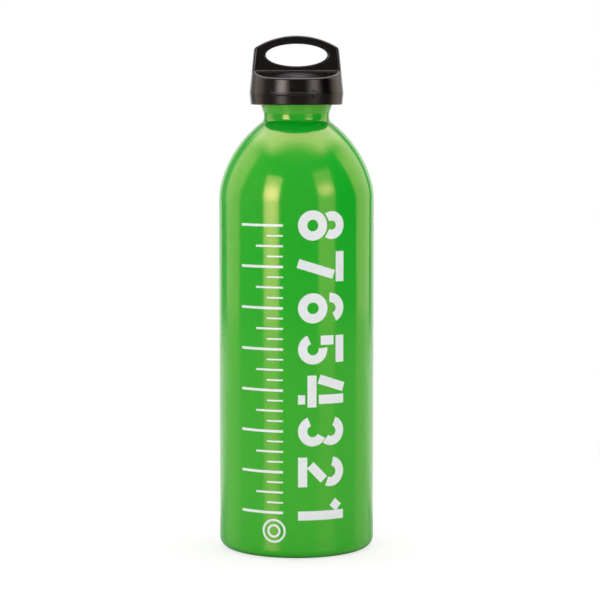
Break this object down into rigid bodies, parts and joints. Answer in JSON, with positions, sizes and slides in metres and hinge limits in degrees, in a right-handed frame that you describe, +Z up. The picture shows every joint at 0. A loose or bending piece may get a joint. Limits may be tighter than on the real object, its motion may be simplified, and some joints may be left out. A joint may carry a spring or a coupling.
{
  "type": "camping fuel bottle",
  "caption": "Tall round aluminium fuel bottle with a domed shoulder, a narrow neck and a black push-and-turn screw cap whose top is a loop handle.",
  "frame": {"origin": "centre of the plane that the bottle stands on", "axes": "+Z up along the bottle's axis; the handle of the cap lies in the XZ plane and its window is seen along Y; -Y is the front"},
  "size_m": [0.08, 0.08, 0.265],
  "materials": {
    "lacquered_aluminium": "green gloss lacquer outside, bare metal inside",
    "cap_plastic": "black moulded plastic with a fine satin texture",
    "plug_plastic": "dark grey moulded plastic",
    "seal_rubber": "black fuel-proof rubber",
    "spring_steel": "plain drawn and pressed steel"
  },
  "bodies": {
    "bottle": {"bottle_shell": "lacquered_aluminium"},
    "seal": {"o_ring": "seal_rubber"},
    "plug": {"stopper": "plug_plastic", "push_spring": "spring_steel"},
    "washer": {"thrust_washer": "spring_steel"},
    "cap": {"cap_shell": "cap_plastic", "retaining_ring": "spring_steel"}
  },
  "joints": [
    {"name": "cap_rise", "type": "slide", "parent": "bottle", "child": "seal", "axis": [0, 0, 1], "range_m": [0, 0.024]},
    {"name": "cap_turn", "type": "hinge", "parent": "seal", "child": "plug", "pos_m": [0, 0, 0.2346], "axis": [0, 0, 1], "range_deg": [0, 2880]},
    {"name": "cap_push", "type": "slide", "parent": "plug", "child": "washer", "axis": [0, 0, -1], "range_m": [0, 0.0018], "stiffness_N_per_m": 2000, "springref_m": -0.003, "deforming": ["push_spring"]},
    {"name": "shell_spin", "type": "hinge", "parent": "washer", "child": "cap", "pos_m": [0, 0, 0.24], "axis": [0, 0, 1], "continuous": true}
  ],
  "couplings": [
    {"joint": "cap_turn", "follows": "cap_rise", "rad_per_m": 2094.4}
  ]
}
